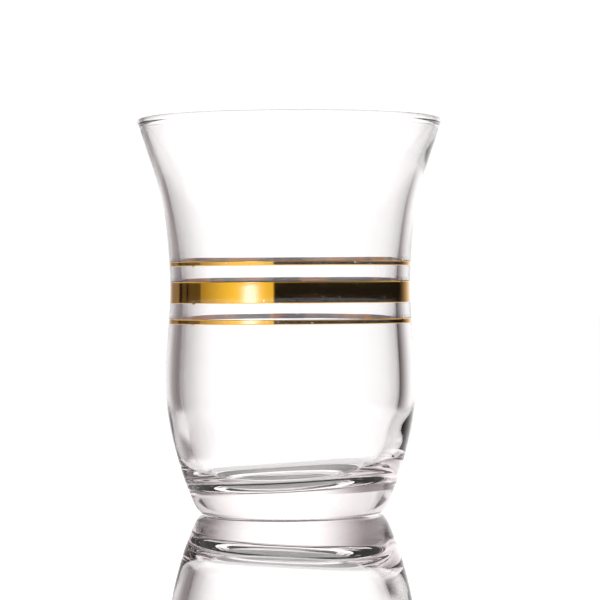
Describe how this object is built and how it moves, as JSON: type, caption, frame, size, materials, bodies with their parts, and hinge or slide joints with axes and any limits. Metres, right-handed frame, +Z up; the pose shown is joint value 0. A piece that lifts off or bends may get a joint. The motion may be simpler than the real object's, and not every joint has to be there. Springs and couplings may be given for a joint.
{
  "type": "tea glass",
  "caption": "Empty tulip-shaped glass for serving tea, with a flared rolled rim, a narrow waist ringed with gold bands, and a thick rounded foot.",
  "frame": {"origin": "middle of the flat ring that the glass stands on, under its foot", "axes": "+Z up along the axis the glass is turned about, towards the rim; the inner floor is a little higher towards +X and towards +Y; -Y is the side the picture shows"},
  "size_m": [0.064, 0.064, 0.0831],
  "materials": {
    "glass": "clear fire-polished soda-lime glass",
    "gold": "bright gold fired on the glass"
  },
  "bodies": {
    "root": {"glass": "glass", "gold_band_lower": "gold", "gold_band_middle": "gold", "gold_band_upper": "gold"}
  },
  "joints": []
}
